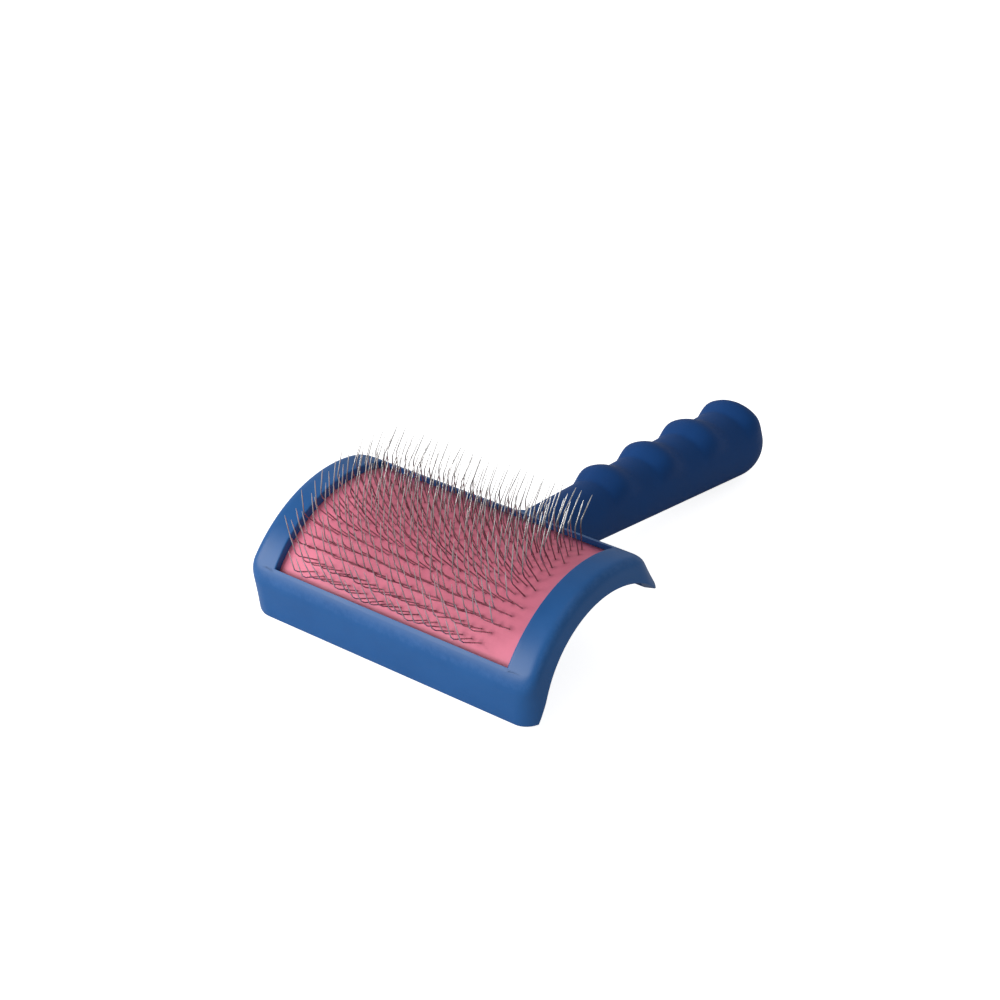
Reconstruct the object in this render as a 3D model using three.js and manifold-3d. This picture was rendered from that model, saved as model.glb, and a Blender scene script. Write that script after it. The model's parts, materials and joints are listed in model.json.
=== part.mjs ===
// Slicker brush: a curved pin head on a ridged grip, lying with its pins up. Millimetres, +Z up.
// Each piece is drawn in the head's own frame: X runs along the head, Y towards the handle and Z out
// through the pins, with Z = 0 at the head's bottom edges. The whole brush is then tipped to the way
// it rests: on the front bottom edge of the head and on the belly of the grip.
import * as THREE from 'three';
import { mergeGeometries, mergeVertices } from 'three/addons/utils/BufferGeometryUtils.js';
import Module from 'manifold-3d';

const wasm = await Module();
wasm.setup();

// Head
const headLength = 110;
const headDepth = 63;
const crownHeight = 24;
const wallHeight = 13;
const wallLean = 0.25;
const endLean = 0.06;
const cornerRound = 8;
const edgeRound = 3;
const endBandCrown = 6.7;
const endBandLength = 5;
const bottomLand = 2.3;

// Window in the frame
const rimEnd = 11.1;
const rimSide = 5.9;
const lipThickness = 2.7;
const lipOverlap = 1.6;
const endOverlap = 3.4;

// What lies under the lip, from the pin side down
const padThickness = 1.3;
const crownWire = 0.4;
const foamThickness = 1.3;
const plateThickness = 1.4;
const layerGap = 0.3;
const fitGap = 0.3;

// Pins
const pinRows = 14;
const pinsPerRow = 24;
const pinMargin = 6;
const cornerPins = 2;
const wireRadius = 0.3;
const wireSides = 3;
const stemLength = 9.5;
const stemLean = 16;
const tipLength = 8.5;
const kneeBend = 43;

// Neck, core and grip, along the handle's axis from the plane of the back wall
const handleAngle = 23.3;
const axisDrop = 6.5;
const neckTop = 8;
const neckShoulder = 9;
const neckBottom = 9;
const neckHalfWidth = 8.6;
const neckFlare = 15;
const neckReach = 40;
const neckSquareness = 0.7;
const gripStart = 5;
const gripLength = 115.5;
const coreRadius = 6.2;
const coreOval = 0.85;
const coreEndWall = 14;
const gripBelly = 9.8;
const bellyGain = 0.035;
const gripBack = 7.6;
const backGain = 0.024;
const ridgeHeight = 2.8;
const ridgeCount = 4;
const ridgePitch = 23.3;
const lastRidge = 10;
const ridgeRise = 0.26;
const ridgeFall = 0.42;
const ridgeFull = 38;
const ridgeEnd = 80;

// Fineness of the faceted curves
const archSteps = 16;
const roundSteps = 3;
const cornerSteps = 4;
const gripSides = 18;
const gripStep = 2.9;
const domeSteps = 6;
const coreSides = 16;
const neckSteps = 12;

// Derived sizes
const halfLength = headLength / 2;
const halfDepth = headDepth / 2;
const crestHalfDepth = halfDepth - wallLean * wallHeight;
const archRise = crownHeight - wallHeight;
const archRadius = (crestHalfDepth ** 2 + archRise ** 2) / (2 * archRise);
const archCentre = crownHeight - archRadius;
const windowHalfLength = halfLength - rimEnd;
const windowHalfDepth = halfDepth - rimSide;
const pocketHalfLength = windowHalfLength + endOverlap;
const pocketHalfDepth = windowHalfDepth + lipOverlap;
const gripEnd = gripStart + gripLength;

// How far each layer's faces lie straight under the rim's arched top
const padFace = lipThickness + layerGap;
const padBack = padFace + padThickness;
const crownTop = padBack + layerGap;
const crownBottom = crownTop + crownWire;
const foamTop = crownBottom + layerGap;
const foamBottom = foamTop + foamThickness;
const plateTop = foamBottom + layerGap;
const plateBottom = plateTop + plateThickness;

const radians = THREE.MathUtils.degToRad;

function toSolid(geometry) {
  const plain = geometry.clone();
  plain.deleteAttribute('normal');
  plain.deleteAttribute('uv');
  const merged = mergeVertices(plain, 1e-4);
  return new wasm.Manifold(new wasm.Mesh({
    numProp: 3,
    vertProperties: new Float32Array(merged.attributes.position.array),
    triVerts: new Uint32Array(merged.index.array),
  }));
}

function toGeometry(solid) {
  const mesh = solid.getMesh();
  const geometry = new THREE.BufferGeometry();
  geometry.setAttribute('position', new THREE.BufferAttribute(mesh.vertProperties, 3));
  geometry.setIndex(new THREE.BufferAttribute(mesh.triVerts, 1));
  geometry.computeVertexNormals();
  return geometry;
}

function named(name, geometry, colour, roughness, metalness = 0) {
  const material = new THREE.MeshStandardMaterial({ color: colour, roughness, metalness });
  const mesh = new THREE.Mesh(geometry, material);
  mesh.name = name;
  return mesh;
}

// Points along an arc about (0, centre), from one angle to another, both measured from straight up.
function arcPoints(centre, radius, from, to, steps) {
  return Array.from({ length: steps + 1 }, (_, i) => {
    const angle = from + (to - from) * i / steps;
    return new THREE.Vector2(radius * Math.sin(angle), centre + radius * Math.cos(angle));
  });
}

// A section drawn in Y and Z, run along X and centred on X = 0.
function alongX(points, length, options = {}) {
  const shape = new THREE.Shape(points);
  const geometry = new THREE.ExtrudeGeometry(shape, { depth: length, bevelEnabled: false, ...options });
  geometry.translate(0, 0, -length / 2);
  const axes = new THREE.Matrix4().makeBasis(
    new THREE.Vector3(0, 1, 0),
    new THREE.Vector3(0, 0, 1),
    new THREE.Vector3(1, 0, 0),
  );
  return geometry.applyMatrix4(axes);
}

// A curved sheet between two depths under the rim's top, with upright edges.
function archedSheet(top, bottom, halfLong, halfDeep) {
  const angle = Math.asin(halfDeep / archRadius);
  const points = [
    ...arcPoints(archCentre - top, archRadius, angle, -angle, archSteps),
    ...arcPoints(archCentre - bottom, archRadius, -angle, angle, archSteps),
  ];
  return alongX(points, 2 * halfLong);
}

// The space under a depth below the rim's top, open to below.
function archedPocket(top, halfLong, halfDeep) {
  const angle = Math.asin(halfDeep / archRadius);
  const points = [
    ...arcPoints(archCentre - top, archRadius, angle, -angle, archSteps),
    new THREE.Vector2(-halfDeep, -crownHeight),
    new THREE.Vector2(halfDeep, -crownHeight),
  ];
  return alongX(points, 2 * halfLong);
}

// A full round bar along X, used to hollow the underside of the head.
function archCutter(centre, radius, length) {
  const points = arcPoints(centre, radius, 2 * Math.PI, 0, 4 * archSteps);
  points.pop();
  return alongX(points, length);
}

// The outer block of the head, before it is hollowed: arched top, leaning walls, rounded edges.
function headBlock() {
  const depthBelow = 2 * edgeRound;
  const crestAngle = Math.asin(crestHalfDepth / archRadius);
  const roundAngle = edgeRound / archRadius;
  const wallDown = new THREE.Vector2(wallLean, -1).normalize().multiplyScalar(edgeRound);
  const crest = new THREE.Vector2(crestHalfDepth, wallHeight);
  const wallEnd = crest.clone().add(wallDown);
  const topEnd = arcPoints(archCentre, archRadius, crestAngle - roundAngle, 0, 1)[0];
  const round = new THREE.QuadraticBezierCurve(wallEnd, crest, topEnd).getPoints(roundSteps);
  const foot = new THREE.Vector2(halfDepth + wallLean * depthBelow, -depthBelow);
  const top = arcPoints(archCentre, archRadius, crestAngle - roundAngle, roundAngle - crestAngle, archSteps);
  const rightSide = [foot, ...round.slice(0, -1)];
  const leftSide = rightSide.map((p) => new THREE.Vector2(-p.x, p.y)).reverse();
  return alongX([...rightSide, ...top, ...leftSide], headLength - 2 * edgeRound, {
    bevelEnabled: true,
    bevelThickness: edgeRound,
    bevelSize: edgeRound,
    bevelOffset: -edgeRound,
    bevelSegments: roundSteps,
  });
}

// The head's outline seen from above, with round corners, narrowing upwards as the walls do.
function planBlock() {
  const margin = 0.02;
  const x = halfLength;
  const y = halfDepth + margin;
  const r = cornerRound;
  const outline = new THREE.Shape();
  outline.moveTo(x, r - y);
  outline.absarc(x - r, y - r, r, 0, Math.PI / 2, false);
  outline.absarc(r - x, y - r, r, Math.PI / 2, Math.PI, false);
  outline.absarc(r - x, r - y, r, Math.PI, 1.5 * Math.PI, false);
  outline.absarc(x - r, r - y, r, 1.5 * Math.PI, 2 * Math.PI, false);
  const height = 2 * crownHeight;
  const block = new THREE.ExtrudeGeometry(outline, {
    depth: height,
    bevelEnabled: false,
    curveSegments: cornerSteps,
  });
  const place = block.attributes.position;
  for (let i = 0; i < place.count; i += 1) {
    const z = place.getZ(i);
    place.setX(i, place.getX(i) * (1 - endLean * z / halfLength));
    place.setY(i, place.getY(i) * (1 - wallLean * z / y));
  }
  return block;
}

function handleFrame() {
  const frame = new THREE.Matrix4().makeRotationX(-radians(handleAngle));
  return frame.setPosition(0, halfDepth, -axisDrop);
}

// The neck, grown all round by a gap: an oval bar that flares and rises from the grip to the plate.
function neck(gap) {
  const collar = gripStart - fitGap;
  const roof = crownHeight + axisDrop;
  const loft = new THREE.CylinderGeometry(1, 1, 1, coreSides, neckSteps);
  const place = loft.attributes.position;
  for (let i = 0; i < place.count; i += 1) {
    const share = 0.5 - place.getY(i);
    const along = collar - share * (collar + neckReach + gap);
    const rise = Math.max(0, share - gripStart / neckReach) ** 2;
    const climb = THREE.MathUtils.smoothstep(-along, neckShoulder, neckShoulder + neckTop);
    const upper = neckTop + gap + (roof - neckTop) * climb;
    const lower = (neckTop + neckBottom) * rise - neckBottom - gap;
    const width = neckHalfWidth + gap + (neckFlare - neckHalfWidth) * share ** 2;
    const x = Math.sign(place.getX(i)) * Math.abs(place.getX(i)) ** neckSquareness;
    const z = Math.sign(place.getZ(i)) * Math.abs(place.getZ(i)) ** neckSquareness;
    const height = (upper + lower) / 2 + z * (upper - lower) / 2;
    const upright = Math.max(0, height - neckTop) * Math.tan(radians(handleAngle));
    place.setXYZ(i, width * x, along - upright, height);
  }
  loft.applyMatrix4(handleFrame());
  const plateMiddle = (plateTop + plateBottom) / 2;
  const above = archedSheet(-2 * crownHeight, plateMiddle - gap, pocketHalfLength, pocketHalfDepth);
  return toSolid(loft).subtract(toSolid(above));
}

// The oval core that the grip is pushed over, grown all round by a gap.
function core(gap) {
  const from = gripStart - 2 * fitGap - gap;
  const to = gripEnd - coreEndWall + gap;
  const rod = new THREE.CylinderGeometry(coreRadius + gap, coreRadius + gap, to - from, coreSides);
  rod.translate(0, (from + to) / 2, 0);
  rod.scale((coreRadius * coreOval + gap) / (coreRadius + gap), 1, 1);
  return rod;
}

function padFrame() {
  const block = toSolid(headBlock()).intersect(toSolid(planBlock()));
  const window = new THREE.BoxGeometry(2 * windowHalfLength, 2 * windowHalfDepth, 4 * crownHeight);
  const pocket = archedPocket(lipThickness, pocketHalfLength, pocketHalfDepth);
  const underside = archedPocket(plateBottom, halfLength - endBandLength, pocketHalfDepth);
  const endCrown = crownHeight - endBandCrown;
  const endFoot = halfDepth - bottomLand;
  const endRadius = (endFoot ** 2 + endCrown ** 2) / (2 * endCrown);
  const endHollow = toSolid(archCutter(endCrown - endRadius, endRadius, 4 * endBandLength));
  const endCentre = halfLength + endBandLength;
  return block
    .subtract(toSolid(window))
    .subtract(toSolid(pocket))
    .subtract(toSolid(underside))
    .subtract(endHollow.translate([endCentre, 0, 0]))
    .subtract(endHollow.translate([-endCentre, 0, 0]))
    .subtract(neck(fitGap));
}

function headBack() {
  const plate = archedSheet(plateTop, plateBottom, pocketHalfLength - fitGap, pocketHalfDepth - fitGap);
  return toSolid(plate).add(neck(0)).add(toSolid(core(0).applyMatrix4(handleFrame())));
}

// Finger ridges along the pin side of the grip: steep towards the head and gentle towards the end.
// Each is whole to ridgeFull degrees round from the top and has died away by ridgeEnd.
function ridgeAt(along) {
  let height = 0;
  for (let i = 0; i < ridgeCount; i += 1) {
    const crest = gripEnd - lastRidge - i * ridgePitch;
    const offset = (along - crest) / ridgePitch;
    const rise = Math.cos(Math.PI / 2 * Math.min(Math.abs(offset) / ridgeRise, 1));
    const fall = (1 + Math.cos(Math.PI * Math.min(offset / ridgeFall, 1))) / 2;
    height += ridgeHeight * (offset < 0 ? rise : fall);
  }
  return height;
}

function bellyAt(along) {
  return gripBelly + bellyGain * (along - gripStart);
}

function gripSolid() {
  const domeRadius = bellyAt(gripEnd) - bellyGain * gripBelly;
  const domeStart = gripEnd - domeRadius;
  const steps = Math.round((domeStart - gripStart) / gripStep);
  const outline = [new THREE.Vector2(0, gripStart)];
  for (let i = 0; i <= steps; i += 1) {
    const along = gripStart + (domeStart - gripStart) * i / steps;
    outline.push(new THREE.Vector2(bellyAt(along), along));
  }
  for (let i = 1; i < domeSteps; i += 1) {
    const angle = Math.PI / 2 * i / domeSteps;
    const scale = bellyAt(domeStart);
    outline.push(new THREE.Vector2(scale * Math.cos(angle), domeStart + domeRadius * Math.sin(angle)));
  }
  outline.push(new THREE.Vector2(0, gripEnd));
  const skin = new THREE.LatheGeometry(outline, gripSides);
  const place = skin.attributes.position;
  for (let i = 0; i < place.count; i += 1) {
    const x = place.getX(i);
    const z = place.getZ(i);
    const along = place.getY(i);
    const radius = Math.hypot(x, z);
    if (radius > 0) {
      const upper = ((1 + z / radius) / 2) ** 1.5;
      const round = THREE.MathUtils.smoothstep(
        z / radius,
        Math.cos(radians(ridgeEnd)),
        Math.cos(radians(ridgeFull)),
      );
      const back = gripBack + backGain * (along - gripStart);
      const swell = upper * (back - bellyAt(along)) + round * ridgeAt(along);
      const ratio = 1 + swell / bellyAt(along);
      place.setX(i, x * ratio);
      place.setZ(i, z * ratio);
    }
  }
  return toSolid(skin).subtract(toSolid(core(fitGap)));
}

// Where the pins of a row stand along X. Every second row is set half a pitch over, and the rows nearest
// the front edge leave the corners of the pad clear.
function pinPlaces(row) {
  const reach = windowHalfLength - pinMargin;
  const pitch = 2 * reach / (pinsPerRow - 1);
  const shifted = row % 2 === 1;
  const cleared = Math.max(0, cornerPins - row);
  const count = (shifted ? pinsPerRow - 1 : pinsPerRow) - 2 * cleared;
  const first = (shifted ? pitch / 2 - reach : -reach) + cleared * pitch;
  return Array.from({ length: count }, (_, i) => first + pitch * i);
}

function rowAngle(row) {
  const reach = Math.asin(windowHalfDepth / archRadius) - pinMargin / archRadius;
  return reach * (2 * row / (pinRows - 1) - 1);
}

// One wire standing on local Z = 0, with its root below and its upper part bent towards the handle.
function bentPin(rootLength) {
  const pin = new THREE.CylinderGeometry(wireRadius, wireRadius, 2, wireSides, 2).rotateX(Math.PI / 2);
  const bend = radians(kneeBend);
  const place = pin.attributes.position;
  for (let i = 0; i < place.count; i += 1) {
    const level = Math.round(place.getZ(i));
    const y = place.getY(i);
    if (level < 0) {
      place.setZ(i, -rootLength);
    } else if (level === 0) {
      place.setZ(i, stemLength - y * Math.tan(bend / 2));
    } else {
      place.setY(i, tipLength * Math.sin(bend) + y * Math.cos(bend));
      place.setZ(i, stemLength + tipLength * Math.cos(bend) - y * Math.sin(bend));
    }
  }
  return pin;
}

// Moves a piece from local Z = 0 to the pad's face, at X = x in a row, leaning away from the handle.
function standing(row, x, lean) {
  const angle = rowAngle(row);
  const place = new THREE.Matrix4().makeRotationX(lean - angle);
  const centre = archCentre - padFace;
  return place.setPosition(x, archRadius * Math.sin(angle), centre + archRadius * Math.cos(angle));
}

function onRow(piece, row) {
  const lean = radians(stemLean);
  const copies = pinPlaces(row).map((x) => piece.clone().applyMatrix4(standing(row, x, lean)));
  return toSolid(mergeGeometries(copies));
}

function pinPad() {
  let pad = toSolid(archedSheet(padFace, padBack, pocketHalfLength - fitGap, pocketHalfDepth - fitGap));
  const holeRadius = wireRadius + fitGap / Math.cos(Math.PI / wireSides);
  const drill = new THREE.CylinderGeometry(holeRadius, holeRadius, 3 * padThickness, wireSides, 1);
  drill.rotateX(Math.PI / 2);
  drill.translate(0, 0, -padThickness / 2);
  for (let row = 0; row < pinRows; row += 1) {
    pad = pad.subtract(onRow(drill, row));
  }
  return pad;
}

function pinRow(row) {
  const places = pinPlaces(row);
  const length = places[places.length - 1] - places[0] + 4 * wireRadius;
  const rootDepth = ((crownTop + crownBottom) / 2 - padFace) * Math.cos(rowAngle(row));
  const crown = new THREE.BoxGeometry(length, 4 * wireRadius, crownWire);
  crown.translate(0, rootDepth * Math.tan(radians(stemLean)), -rootDepth);
  crown.applyMatrix4(standing(row, 0, 0));
  return toSolid(crown).add(onRow(bentPin(rootDepth / Math.cos(radians(stemLean))), row));
}

function foamCushion() {
  return archedSheet(foamTop, foamBottom, pocketHalfLength - fitGap, pocketHalfDepth - fitGap);
}

// The slope of the line that touches the front bottom edge and the lowest side of the grip.
function restTilt(grip) {
  const corner = new THREE.Vector3(0, -halfDepth, 0);
  const point = new THREE.Vector3();
  const place = grip.geometry.attributes.position;
  grip.updateWorldMatrix(true, false);
  let tilt = 0;
  for (let i = 0; i < place.count; i += 1) {
    point.fromBufferAttribute(place, i).applyMatrix4(grip.matrixWorld).sub(corner);
    tilt = Math.max(tilt, Math.atan2(-point.z, point.y));
  }
  return tilt;
}

const blue = '#3c5f9c';
const navy = '#24406f';
const brush = new THREE.Group();
brush.add(named('pad_frame', toGeometry(padFrame()), blue, 0.42));
brush.add(named('head_back', toGeometry(headBack()), blue, 0.45));

const grip = named('grip_sleeve', toGeometry(gripSolid()), navy, 0.7);
grip.rotation.x = -radians(handleAngle);
grip.position.set(0, halfDepth, -axisDrop);
brush.add(grip);

brush.add(named('foam_cushion', foamCushion(), '#d9d4c8', 0.95));
brush.add(named('pin_pad', toGeometry(pinPad()), '#dd8598', 0.65));
for (let row = 0; row < pinRows; row += 1) {
  const name = `pin_row_${String(row + 1).padStart(2, '0')}`;
  brush.add(named(name, toGeometry(pinRow(row)), '#c9c9cc', 0.25, 1));
}

brush.rotation.x = restTilt(grip);
const box = new THREE.Box3().setFromObject(brush, true);
brush.position.set(0, -(box.min.y + box.max.y) / 2, -box.min.z);

const group = new THREE.Group();
group.add(brush);

export default group;
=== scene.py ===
"""Slicker brush: the moulded head, ridged grip, pin pad and wire pins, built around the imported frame.

Sizes are in millimetres in the head's own frame, as the part draws them: X along the head, Y towards
the handle, Z out through the pins, and Z = 0 at the head's bottom edges. HEAD and HANDLE carry them
into the row's frame, in metres.
"""

import json
import math

import bmesh
import bpy
import numpy as np
from mathutils import Matrix, Vector


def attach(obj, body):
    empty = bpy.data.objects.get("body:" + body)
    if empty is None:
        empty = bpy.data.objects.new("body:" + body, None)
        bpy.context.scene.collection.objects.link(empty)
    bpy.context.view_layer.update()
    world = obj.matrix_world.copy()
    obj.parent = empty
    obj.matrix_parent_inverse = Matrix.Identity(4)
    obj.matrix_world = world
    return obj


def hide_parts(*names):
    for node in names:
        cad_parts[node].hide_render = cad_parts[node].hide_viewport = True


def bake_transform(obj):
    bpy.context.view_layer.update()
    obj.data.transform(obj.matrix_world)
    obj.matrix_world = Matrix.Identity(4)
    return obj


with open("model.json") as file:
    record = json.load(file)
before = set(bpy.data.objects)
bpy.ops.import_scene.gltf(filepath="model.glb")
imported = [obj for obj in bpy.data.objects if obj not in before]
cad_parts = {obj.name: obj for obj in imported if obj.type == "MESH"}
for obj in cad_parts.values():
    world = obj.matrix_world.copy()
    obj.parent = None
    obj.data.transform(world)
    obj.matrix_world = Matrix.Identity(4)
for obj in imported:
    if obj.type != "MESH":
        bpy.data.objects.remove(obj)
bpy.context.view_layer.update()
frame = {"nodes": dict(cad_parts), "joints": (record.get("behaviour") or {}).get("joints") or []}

MM = 0.001
SEED = 7

# Mesh sizes
SHEET_CELL = 1.6
PAD_CELL = 0.62
GRIP_STEP = 0.75
CORE_SIDES = 32
ON_WINDOW_EDGE = 0.9999

# Head
HALF_LENGTH = 55.0
WALL_HEIGHT = 13.0
WALL_LEAN = 0.25
END_LEAN = 0.06
CORNER_ROUND = 8.0
EDGE_ROUND = 3.2
SOFT_EDGE = 0.5
END_BAND_CROWN = 6.7
END_BAND_LENGTH = 5.0
BOTTOM_LAND = 3.2

# Window, pocket and the layers under the lip
RIM_END = 11.1
RIM_SIDE = 5.9
LIP_OVERLAP = 1.6
END_OVERLAP = 3.4
LIP_THICKNESS = 2.7
LAYER_GAP = 0.3
FIT_GAP = 0.3
PAD_THICKNESS = 1.3
CROWN_WIRE = 0.4
FOAM_THICKNESS = 1.3
FOAM_STRIPS = 9
FOAM_SEAM = 0.05
PLATE_THICKNESS = 1.4

# Pins
PIN_ROWS = 14
PINS_PER_ROW = 24
PIN_MARGIN = 6.0
CORNER_PINS = 2
WIRE_RADIUS = 0.21
STEM_LENGTH = 9.5
STEM_LEAN = 16.0
TIP_LENGTH = 8.5
KNEE_BEND = 43.0
PIN_ROOT = 1.6

# Neck, core and grip, along the handle's axis
HANDLE_ANGLE = 23.3
AXIS_DROP = 6.5
NECK_TOP = 8.0
NECK_SHOULDER = 9.0
NECK_BOTTOM = 9.0
NECK_HALF_WIDTH = 8.6
NECK_FLARE = 15.0
NECK_REACH = 40.0
NECK_SQUARENESS = 0.7
GRIP_START = 5.0
GRIP_LENGTH = 115.5
CORE_RADIUS = 6.2
CORE_OVAL = 0.85
CORE_END_WALL = 14.0
GRIP_BELLY = 9.8
BELLY_GAIN = 0.035
GRIP_BACK = 7.6
BACK_GAIN = 0.024
RIDGE_HEIGHT = 2.8
RIDGE_COUNT = 4
RIDGE_PITCH = 23.3
LAST_RIDGE = 10.0
RIDGE_RISE = 0.26
RIDGE_FALL = 0.42
RIDGE_FULL = 38.0
RIDGE_END = 80.0
RIDGE_SOFTNESS = 0.02

PAD_FACE = LIP_THICKNESS + LAYER_GAP
PAD_BACK = PAD_FACE + PAD_THICKNESS
FOAM_TOP = PAD_BACK + CROWN_WIRE + 2 * LAYER_GAP
FOAM_BOTTOM = FOAM_TOP + FOAM_THICKNESS
PLATE_TOP = FOAM_BOTTOM + LAYER_GAP
PLATE_BOTTOM = PLATE_TOP + PLATE_THICKNESS
GRIP_END = GRIP_START + GRIP_LENGTH


# ---------------------------------------------------------------- the frame

def upright_box(node, tilt):
    """A CAD node's box, in millimetres, once the brush is turned back upright."""
    turn = Matrix.Rotation(-tilt, 4, "X")
    points = np.array([turn @ v.co for v in frame["nodes"][node].data.vertices]) / MM
    return points.min(0), points.max(0)


press_axis = frame["joints"][0]["axis"]
TILT = math.atan2(press_axis[1], -press_axis[2])
surround_low, surround_high = upright_box("pad_frame", TILT)
CROWN_HEIGHT = float(surround_high[2] - surround_low[2])
HALF_DEPTH = float(surround_high[1] - surround_low[1]) / 2
head_origin = Vector((0, (surround_low[1] + surround_high[1]) / 2, surround_low[2]))
HEAD = Matrix.Rotation(TILT, 4, "X") @ Matrix.Scale(MM, 4) @ Matrix.Translation(head_origin)
HANDLE = HEAD @ Matrix.Translation((0, HALF_DEPTH, -AXIS_DROP)) @ Matrix.Rotation(
    -math.radians(HANDLE_ANGLE), 4, "X"
)

crest_half_depth = HALF_DEPTH - WALL_LEAN * WALL_HEIGHT
arch_rise = CROWN_HEIGHT - WALL_HEIGHT
ARCH_RADIUS = (crest_half_depth**2 + arch_rise**2) / (2 * arch_rise)
ARCH_CENTRE = CROWN_HEIGHT - ARCH_RADIUS
WINDOW = (HALF_LENGTH - RIM_END, HALF_DEPTH - RIM_SIDE)
POCKET = (WINDOW[0] + END_OVERLAP, WINDOW[1] + LIP_OVERLAP)
RIB = (HALF_LENGTH - END_BAND_LENGTH, POCKET[1])
PIN_REACH = math.asin(WINDOW[1] / ARCH_RADIUS) - PIN_MARGIN / ARCH_RADIUS
PIN_HALF_LENGTH = WINDOW[0] - PIN_MARGIN


def arch(y, depth=0.0):
    """Height of the rim's arched top at y, or of the surface that lies depth under it."""
    return ARCH_CENTRE - depth + math.sqrt(max(ARCH_RADIUS**2 - y**2, 0.0))


def end_arch(y):
    """Height of the lower edge of the end walls."""
    crown = CROWN_HEIGHT - END_BAND_CROWN
    foot = HALF_DEPTH - BOTTOM_LAND
    radius = (foot**2 + crown**2) / (2 * crown)
    return max(0.0, crown - radius + math.sqrt(max(radius**2 - y**2, 0.0)))


# ---------------------------------------------------------------- mesh helpers

def new_piece(name, vertices, faces, matrix, material, wear_and_shade_mask=None):
    """A smooth mesh object in the row's frame, cleaned, with its faces outwards."""
    mesh = bpy.data.meshes.new(name)
    mesh.from_pydata([matrix @ Vector(v) for v in vertices], [], faces)
    if wear_and_shade_mask is not None:
        # The "edge" attribute holds rubbed-edge wear on the surround and painted shade on the pin pad.
        mesh.attributes.new("edge", "FLOAT", "POINT").data.foreach_set("value", wear_and_shade_mask)
    shape = bmesh.new()
    shape.from_mesh(mesh)
    bmesh.ops.remove_doubles(shape, verts=shape.verts, dist=0.00001 * MM)
    bmesh.ops.dissolve_degenerate(shape, dist=0.001 * MM, edges=shape.edges)
    bmesh.ops.recalc_face_normals(shape, faces=shape.faces)
    shape.to_mesh(mesh)
    shape.free()
    piece = bpy.data.objects.new(name, mesh)
    bpy.context.scene.collection.objects.link(piece)
    piece.data.materials.append(material)
    return piece


def soften(piece, angle):
    """Smooth shading that keeps edges sharper than the angle, in degrees."""
    mesh = piece.data
    mesh.shade_smooth()
    mesh.set_sharp_from_angle(angle=math.radians(angle))


def grid_faces(rows, columns, close_rows=False, close_columns=False):
    """Quads over a grid of vertices that is numbered row by row."""
    faces = []
    for i in range(rows if close_rows else rows - 1):
        for j in range(columns if close_columns else columns - 1):
            a = i * columns + j
            b = i * columns + (j + 1) % columns
            c = ((i + 1) % rows) * columns + (j + 1) % columns
            d = ((i + 1) % rows) * columns + j
            faces.append((a, b, c, d))
    return faces


def lerp(a, b, share):
    return a + (b - a) * share


def smoothstep(value, low, high):
    share = min(max((value - low) / (high - low), 0.0), 1.0)
    return share * share * (3 - 2 * share)


# ---------------------------------------------------------------- the surround

def corner_run(sx, sy, steps):
    """Stations round one corner: window corner, outer point and outward direction."""
    start = math.atan2(sy, sx) - math.pi / 4
    centre = (sx * (HALF_LENGTH - CORNER_ROUND), sy * (HALF_DEPTH - CORNER_ROUND))
    run = []
    for i in range(1, steps):
        angle = start + math.pi / 2 * i / steps
        out = (math.cos(angle), math.sin(angle))
        outer = (centre[0] + CORNER_ROUND * out[0], centre[1] + CORNER_ROUND * out[1])
        run.append(((sx * WINDOW[0], sy * WINDOW[1]), outer, out))
    return run


def side_run(corner_a, corner_b, out, steps):
    """Stations along one straight side, from corner to corner (each a pair of signs)."""
    run = []
    straight = (HALF_LENGTH - CORNER_ROUND, HALF_DEPTH - CORNER_ROUND)
    for i in range(steps + 1):
        share = i / steps
        sign = [lerp(corner_a[k], corner_b[k], share) for k in (0, 1)]
        window = (sign[0] * WINDOW[0], sign[1] * WINDOW[1])
        outer = tuple(
            out[k] * (HALF_LENGTH, HALF_DEPTH)[k] if out[k] else sign[k] * straight[k] for k in (0, 1)
        )
        run.append((window, outer, out))
    return run


def surround_stations():
    end_steps, side_steps, corner_steps = 36, 72, 12
    corners = [(1, -1), (1, 1), (-1, 1), (-1, -1)]
    outs = [(1, 0), (0, 1), (-1, 0), (0, -1)]
    stations = []
    for i, out in enumerate(outs):
        a, b = corners[i], corners[(i + 1) % 4]
        stations += side_run(a, b, out, end_steps if out[0] else side_steps)
        stations += corner_run(b[0], b[1], corner_steps)
    return stations


def notch_height(x, y, inside):
    """Height of the cut over the neck, a distance inside the back wall, or 0 beside the neck."""
    width = NECK_HALF_WIDTH + 2 * FIT_GAP
    share = abs(x) / width
    if y < 0 or share >= 1:
        return 0.0
    middle = (NECK_TOP - NECK_BOTTOM) / 2
    half = (NECK_TOP + NECK_BOTTOM) / 2 + FIT_GAP
    power = 2 / NECK_SQUARENESS
    rise = middle + half * (1 - share**power) ** (1 / power)
    slope = math.tan(math.radians(HANDLE_ANGLE))
    angle = math.radians(HANDLE_ANGLE)
    upright = rise * (math.cos(angle) + math.sin(angle) * slope)
    return max(0.0, upright - AXIS_DROP + inside * slope)


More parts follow.
